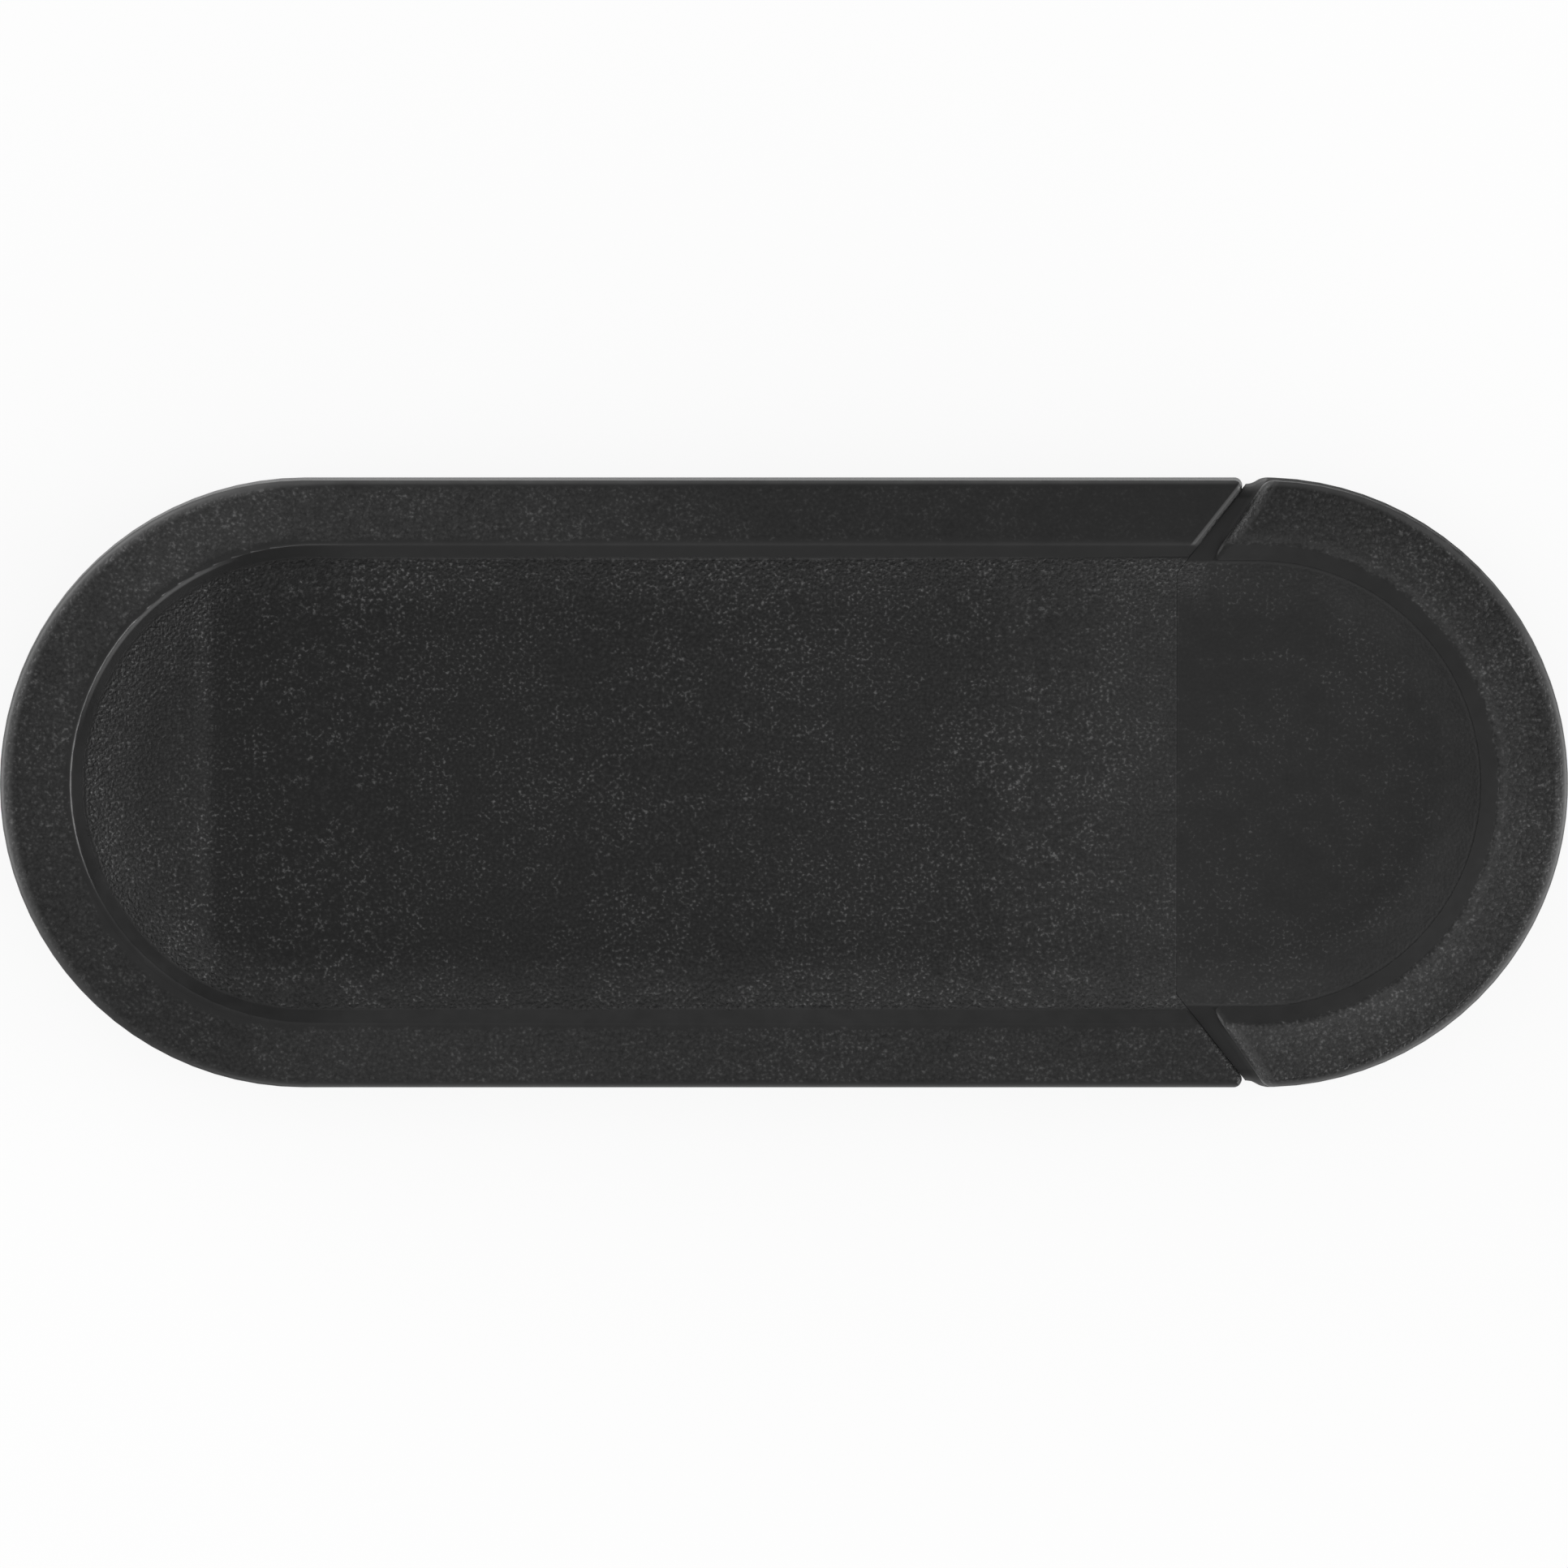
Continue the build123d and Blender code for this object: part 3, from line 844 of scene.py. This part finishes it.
adhesive = bpy.data.materials.new("adhesive")
adhesive.use_nodes = True
tree = adhesive.node_tree
shader = tree.nodes["Principled BSDF"]
position = position_mm(tree)
stretched = add_node(tree, "ShaderNodeMapping", {"Vector": position, "Scale": STREAK_STRETCH}).outputs[0]
streaks = noise(tree, stretched, STREAK_MM, 3.0, 0.6)
clouds = noise(tree, position, CLOUD_MM, 3.0, 0.5)
pits = between(tree, noise(tree, position, PIT_MM, 2.0, 0.5), *PIT_LEVELS)
tone = times(tree, blend(tree, streaks, *STREAK_TONES), blend(tree, clouds, *CLOUD_SHARES))
tone = add_share(tree, tone, pits, PIT_TONE)
warm = times(tree, tone, WARMTH)
colour = add_node(tree, "ShaderNodeCombineColor", {"Red": tone, "Green": tone, "Blue": warm})
surface = minus(tree, streaks, pits)
bump = add_node(tree, "ShaderNodeBump",
                {"Height": surface, "Distance": SURFACE_HEIGHT_MM * MM, "Strength": 1.0})
tree.links.new(colour.outputs[0], shader.inputs["Base Color"])
tree.links.new(blend(tree, clouds, *SATIN_RANGE), shader.inputs["Roughness"])
tree.links.new(bump.outputs["Normal"], shader.inputs["Normal"])
print("adhesive has", len(tree.nodes), "nodes")

# %% [markdown]
# ## The outline of a pad
#
# The pads are punched from a sheet with a steel rule, which can't turn a sharp corner. So each outline
# is a polygon whose corners are arcs. A round end is only a corner with a large radius. The points are
# then spread evenly, so that the surface gets faces of one size.

# %% Outline with round corners
def unit_rows(vectors):
    """Each row scaled to length one."""
    return vectors / np.linalg.norm(vectors, axis=1)[:, None]


def round_corners(corners, radii, points_per_corner=24):
    """A closed outline: each corner becomes an arc that touches both of its sides.

    The arc's centre lies on the corner's bisector, at radius / sin(half the corner's angle) from it.
    """
    corners, radii = np.asarray(corners, float), np.asarray(radii, float)
    before = unit_rows(np.roll(corners, 1, axis=0) - corners)
    after = unit_rows(np.roll(corners, -1, axis=0) - corners)
    bisector = unit_rows(before + after)
    half_angle = np.arccos(np.clip((before * after).sum(axis=1), -1, 1)) / 2
    centres = corners + bisector * (radii / np.sin(half_angle))[:, None]
    swing = np.pi / 2 - half_angle
    turn = np.linspace(-1, 1, points_per_corner)[None, :] * swing[:, None]
    angle = np.arctan2(-bisector[:, 1], -bisector[:, 0])[:, None] + turn
    arcs = centres[:, None, :] + radii[:, None, None] * np.stack([np.cos(angle), np.sin(angle)], axis=2)
    return arcs.reshape(-1, 2)


def even_steps(outline, count):
    """The same closed outline with points at equal steps along it."""
    closed = np.vstack([outline, outline[:1]])
    lengths = np.concatenate([[0.0], np.cumsum(np.linalg.norm(np.diff(closed, axis=0), axis=1))])
    steps = np.linspace(0.0, lengths[-1], count, endpoint=False)
    return np.stack([np.interp(steps, lengths, closed[:, axis]) for axis in (0, 1)], axis=1)

# %% [markdown]
# ## The surface of a pad
#
# A pad could be a flat extrusion, but a soft sheet that was punched and is squeezed has no sharp edge:
# its rim bulges a little. So each is a surface on a grid. One direction runs round the outline, and the
# other goes over the section, from the middle of the lower face, out to the rim, up over the bulge, and
# back in to the middle of the upper face.

# %% Surface of a soft sheet
FACE_STEPS = 22
CORNER_STEPS = 6
SIDE_STEPS = 5
FIRST_RING = 0.02
CROWDING_TO_RIM = 0.7


def sheet_surface(outline, middle, bottom, top, bulge, edge_round):
    """A soft sheet: point(u, v) = middle + (outline(u) - middle) * reach(v) + outward(u) * push(v).

    Over v, reach goes from 0 to 1 along the lower face, stays 1 up the rim and goes back to 0 along the
    upper face. The height turns the corner on a quarter circle, and push swells the rim like a sine.
    """
    arm = outline - middle
    outward = unit_rows(arm)
    reach_out = np.linspace(FIRST_RING, 1.0, FACE_STEPS) ** CROWDING_TO_RIM
    reach = np.concatenate([reach_out, np.ones(2 * CORNER_STEPS + SIDE_STEPS), reach_out[::-1]])
    corner = np.linspace(0.0, np.pi / 2, CORNER_STEPS + 1)[1:]
    side = np.linspace(0.0, 1.0, SIDE_STEPS + 2)[1:-1]
    push_face = np.full(FACE_STEPS, -edge_round)
    push_corner = edge_round * (np.sin(corner) - 1.0)
    push_side = bulge * np.sin(np.pi * side)
    push = np.concatenate([push_face, push_corner, push_side, push_corner[::-1], push_face])
    height = top - bottom
    rise_corner = edge_round * (1.0 - np.cos(corner))
    rise_side = edge_round + side * (height - 2 * edge_round)
    rise_above = np.concatenate([height - rise_corner[::-1], np.full(FACE_STEPS, height)])
    rise = np.concatenate([np.zeros(FACE_STEPS), rise_corner, rise_side, rise_above])
    flat = middle + arm[:, None, :] * reach[None, :, None] + outward[:, None, :] * push[None, :, None]
    heights = np.broadcast_to(bottom + rise, flat.shape[:2])
    return np.concatenate([flat, heights[:, :, None]], axis=2)


def closed_grid_mesh(name, grid, first_pole, last_pole):
    """A mesh from a grid that is closed round its first direction, with a pole at both ends of the other."""
    around, across = grid.shape[:2]
    points = np.concatenate([grid.reshape(-1, 3), [first_pole, last_pole]])
    index = np.arange(around * across).reshape(around, across)
    turned = np.roll(index, -1, axis=0)
    quads = np.stack([index[:, :-1], turned[:, :-1], turned[:, 1:], index[:, 1:]], axis=2).reshape(-1, 4)
    first, last = around * across, around * across + 1
    start_fan = np.stack([np.full(around, first), turned[:, 0], index[:, 0]], axis=1)
    end_fan = np.stack([np.full(around, last), index[:, -1], turned[:, -1]], axis=1)
    mesh = bpy.data.meshes.new(name)
    mesh.from_pydata(points.tolist(), [], quads.tolist() + start_fan.tolist() + end_fan.tolist())
    mesh.shade_smooth()
    return mesh

# %% [markdown]
# ## Both pads
#
# The pad under the tongue is a straight band with one round end. The pad under the head has the head's
# own outline, with a round end and two slanting sides by the gaps. Each takes its size and place from
# the measured model's plain solid, and stands in its place on the base.

# %% Build both pads
PAD_BULGE_MM = 0.035
PAD_EDGE_MM = 0.03
PAD_CORNER_MM = 0.35
PAD_BLUNT_CORNER_MM = PAD_CORNER_MM / 4
OUTLINE_POINTS = 360
HEAD_SLANT = math.radians(38.4)
HEAD_STRAIGHT_HALF_MM = 4.67


def pad_outline(node):
    """The corners of a pad and the radius of each, in metres, from the box that its solid fills."""
    (x0, y0, _), (x1, y1, _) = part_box(node)
    round_end, small, blunt = y1, PAD_CORNER_MM * MM, PAD_BLUNT_CORNER_MM * MM
    if node == "tongue_adhesive_pad":
        return [(x0, y0), (x1, y0), (x1, y1), (x0, y1)], [round_end, small, small, round_end]
    straight = HEAD_STRAIGHT_HALF_MM * MM
    slant_end = x0 + (y1 - straight) * math.tan(HEAD_SLANT)
    corners = [(x0, -straight), (slant_end, y0), (x1, y0), (x1, y1), (slant_end, y1), (x0, straight)]
    return corners, [small, blunt, round_end, round_end, blunt, small]


def make_pad(node):
    """Builds one pad as a soft sheet in place of its plain solid."""
    (x0, _, bottom), (x1, _, top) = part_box(node)
    outline = even_steps(round_corners(*pad_outline(node)), OUTLINE_POINTS)
    middle = np.array([(x0 + x1) / 2, 0.0])
    grid = sheet_surface(outline, middle, bottom, top, PAD_BULGE_MM * MM, PAD_EDGE_MM * MM)
    mesh = closed_grid_mesh(node + "_sheet", grid, (*middle, bottom), (*middle, top))
    mesh.materials.append(adhesive)
    pad = bpy.data.objects.new(node + "_sheet", mesh)
    bpy.context.scene.collection.objects.link(pad)
    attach(pad, "base")
    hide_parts(node)
    print(pad.name, len(mesh.polygons), "faces")


for node in ("head_adhesive_pad", "tongue_adhesive_pad"):
    make_pad(node)

# %% [markdown]
# ## Floor and world
#
# The photograph's background is pure white. The floor is pale and takes the object's shadow, and what
# the camera sees of it is lifted to white by a little emission for camera, mirror and glass rays only,
# so that it sheds no more light on the object. The world does the same.
#
# The floor lies a hair below the pads, so that the two don't fight for the same place. Seen from beneath
# it is clear, and so it is for light that leaves the pads and meets it at once. A view from below then
# shows the underside lit, as if the object were held up.

# %% Floor
FLOOR_HALF_SIZE = 2.0
FLOOR_BELOW_PADS_MM = 0.03
FLOOR_GREY = 0.85
FLOOR_ROUGHNESS = 0.9
FLOOR_LIFT = 0.88
SEEN_THROUGH_MM = 0.6


def seen_directly(tree):
    """One for rays from the camera, and for those that a mirror or glass sends on, and zero for others."""
    light_path = add_node(tree, "ShaderNodeLightPath").outputs
    seen = calculate(tree, "MAXIMUM", light_path["Is Camera Ray"], light_path["Is Glossy Ray"])
    return calculate(tree, "MAXIMUM", seen, light_path["Is Transmission Ray"])


floor_mesh = bpy.data.meshes.new("floor")
corners = np.array([[-1, -1, 0], [1, -1, 0], [1, 1, 0], [-1, 1, 0]]) * FLOOR_HALF_SIZE
corners[:, 2] = -FLOOR_BELOW_PADS_MM * MM
floor_mesh.from_pydata(corners.tolist(), [], [(0, 1, 2, 3)])
floor = bpy.data.objects.new("floor", floor_mesh)
bpy.context.scene.collection.objects.link(floor)

floor_material = bpy.data.materials.new("pale_floor")
floor_material.use_nodes = True
tree = floor_material.node_tree
shader = tree.nodes["Principled BSDF"]
shader.inputs["Base Color"].default_value = (FLOOR_GREY, FLOOR_GREY, FLOOR_GREY, 1)
shader.inputs["Roughness"].default_value = FLOOR_ROUGHNESS
shader.inputs["Specular IOR Level"].default_value = 0.0
glow = add_node(tree, "ShaderNodeEmission", {"Color": (1, 1, 1, 1), "Strength": 1.0})
lift = times(tree, seen_directly(tree), FLOOR_LIFT)
lifted = add_node(tree, "ShaderNodeMixShader", {0: lift, 1: shader.outputs[0], 2: glow.outputs[0]})
light_path = add_node(tree, "ShaderNodeLightPath").outputs
close_by = calculate(tree, "LESS_THAN", light_path["Ray Length"], SEEN_THROUGH_MM * MM)
close_by = times(tree, close_by, light_path["Is Diffuse Ray"])
from_beneath = add_node(tree, "ShaderNodeNewGeometry").outputs["Backfacing"]
open_floor = calculate(tree, "MAXIMUM", from_beneath, close_by)
clear = add_node(tree, "ShaderNodeBsdfTransparent")
mix = add_node(tree, "ShaderNodeMixShader", {0: open_floor, 1: lifted.outputs[0], 2: clear.outputs[0]})
tree.links.new(mix.outputs[0], tree.nodes["Material Output"].inputs["Surface"])
floor_mesh.materials.append(floor_material)
print("floor", 2 * FLOOR_HALF_SIZE, "m wide")

# %% World
WORLD_LIGHT = 0.60

world = bpy.data.worlds.new("studio")
bpy.context.scene.world = world
world.use_nodes = True
tree = world.node_tree
background = tree.nodes["Background"]
background.inputs["Strength"].default_value = WORLD_LIGHT
background.inputs["Color"].default_value = (1, 1, 1, 1)
white = add_node(tree, "ShaderNodeBackground", {"Color": (1, 1, 1, 1), "Strength": 1.0})
mix = add_node(tree, "ShaderNodeMixShader",
               {0: seen_directly(tree), 1: background.outputs[0], 2: white.outputs[0]})
tree.links.new(mix.outputs[0], tree.nodes["World Output"].inputs["Surface"])
print("world light", WORLD_LIGHT)

# %% [markdown]
# ## Studio lamps
#
# The photograph's flat faces are evenly dark while its edges shine: brightly along the top and upper
# left, less at both ends, and hardly at all along the bottom. Light that comes in low does that, since
# it skims over the flats and meets the rounded edges head on. So long, low softboxes stand round the
# object, the strongest on the left, and one wider box on the right adds a little from higher up.

# %% Lamps
LAMP_DISTANCE = 0.5
STRIP = (0.40, 0.08)
BOX = (0.25, 0.25)


def softbox(name, azimuth, elevation, watts, size):
    """A lamp at a compass direction round the object, facing it. Azimuth 0 is +X and 90 is +Y."""
    lamp = bpy.data.lights.new(name, "AREA")
    lamp.shape = "RECTANGLE"
    lamp.size, lamp.size_y = size
    lamp.energy = watts
    holder = bpy.data.objects.new(name, lamp)
    around, up = math.radians(azimuth), math.radians(elevation)
    towards_lamp = np.array([math.cos(around) * math.cos(up), math.sin(around) * math.cos(up), math.sin(up)])
    holder.location = towards_lamp * LAMP_DISTANCE
    holder.rotation_euler = (math.pi / 2 - up, 0, around + math.pi / 2)
    holder.visible_camera = False
    bpy.context.scene.collection.objects.link(holder)
    print(name, watts, "W")


softbox("upper_left_strip", 135, 8, 1.6, STRIP)
softbox("left_strip", 180, 8, 2.0, STRIP)
softbox("right_strip", 0, 8, 1.2, STRIP)
softbox("lower_right_strip", -45, 8, 1.6, STRIP)
softbox("bottom_strip", -90, 8, 0.7, STRIP)
softbox("right_box", 0, 15, 0.9, BOX)

# %% [markdown]
# ## Finish
#
# The picture keeps plain colours, so the view transform is Standard.

# %% Set the view transform
bpy.context.scene.view_settings.view_transform = "Standard"
